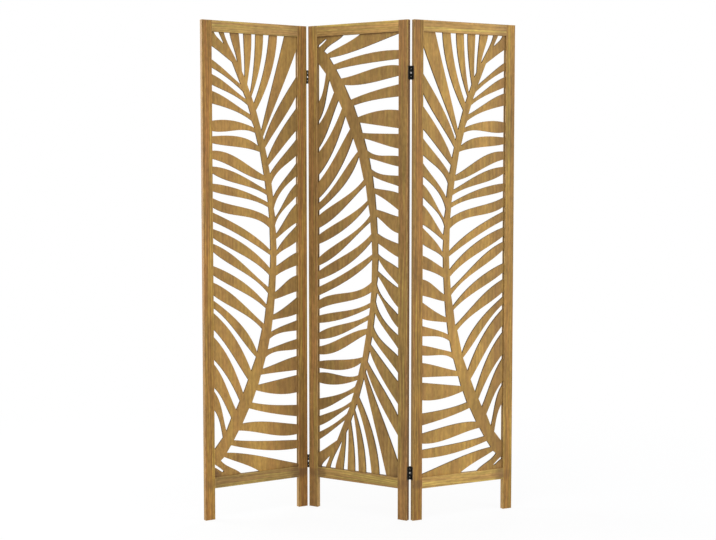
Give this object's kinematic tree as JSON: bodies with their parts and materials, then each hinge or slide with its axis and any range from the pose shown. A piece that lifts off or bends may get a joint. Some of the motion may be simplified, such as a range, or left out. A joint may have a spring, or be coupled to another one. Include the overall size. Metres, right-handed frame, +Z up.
{
  "type": "folding screen",
  "caption": "Free-standing folding screen of hinged wooden panels, each a frame round a thin board pierced as a palm frond, on leg-like stiles.",
  "frame": {"origin": "on the floor, at the middle of the screen's outline seen from above, as it stands in the picture", "axes": "+Z up, +X to the right along the row of panels, and the fronts face -Y"},
  "size_m": [1.0746, 0.2234, 1.7],
  "materials": {
    "stile_wood": "satin stain",
    "rail_wood": "satin stain",
    "fret_wood": "satin stain",
    "dowel_wood": "bare beech",
    "hinge_black": "semi-gloss black",
    "pin_steel": "bright zinc",
    "screw_black": "black oxide"
  },
  "bodies": {
    "left_panel": {"left_panel_left_stile": "stile_wood", "left_panel_right_stile": "stile_wood", "left_panel_top_rail": "rail_wood", "left_panel_bottom_rail": "rail_wood", "left_panel_fret": "fret_wood", "left_panel_dowels": "dowel_wood", "left_fold_upper_left_leaf": "hinge_black", "left_fold_upper_pin": "pin_steel", "left_fold_lower_left_leaf": "hinge_black", "left_fold_lower_pin": "pin_steel", "left_fold_left_screws": "screw_black"},
    "middle_panel": {"middle_panel_left_stile": "stile_wood", "middle_panel_right_stile": "stile_wood", "middle_panel_top_rail": "rail_wood", "middle_panel_bottom_rail": "rail_wood", "middle_panel_fret": "fret_wood", "middle_panel_dowels": "dowel_wood", "left_fold_upper_middle_leaf": "hinge_black", "left_fold_lower_middle_leaf": "hinge_black", "left_fold_middle_screws": "screw_black", "right_fold_upper_middle_leaf": "hinge_black", "right_fold_lower_middle_leaf": "hinge_black", "right_fold_middle_screws": "screw_black"},
    "right_panel": {"right_panel_left_stile": "stile_wood", "right_panel_right_stile": "stile_wood", "right_panel_top_rail": "rail_wood", "right_panel_bottom_rail": "rail_wood", "right_panel_fret": "fret_wood", "right_panel_dowels": "dowel_wood", "right_fold_upper_right_leaf": "hinge_black", "right_fold_upper_pin": "pin_steel", "right_fold_lower_right_leaf": "hinge_black", "right_fold_lower_pin": "pin_steel", "right_fold_right_screws": "screw_black"}
  },
  "joints": [
    {"name": "left_fold", "type": "hinge", "parent": "middle_panel", "child": "left_panel", "pos_m": [-0.18532, 0.096, 0], "axis": [0, 0, 1], "range_deg": [-63, 117]},
    {"name": "right_fold", "type": "hinge", "parent": "middle_panel", "child": "right_panel", "pos_m": [0.16981, -0.09501, 0], "axis": [0, 0, 1], "range_deg": [-58, 122]}
  ]
}
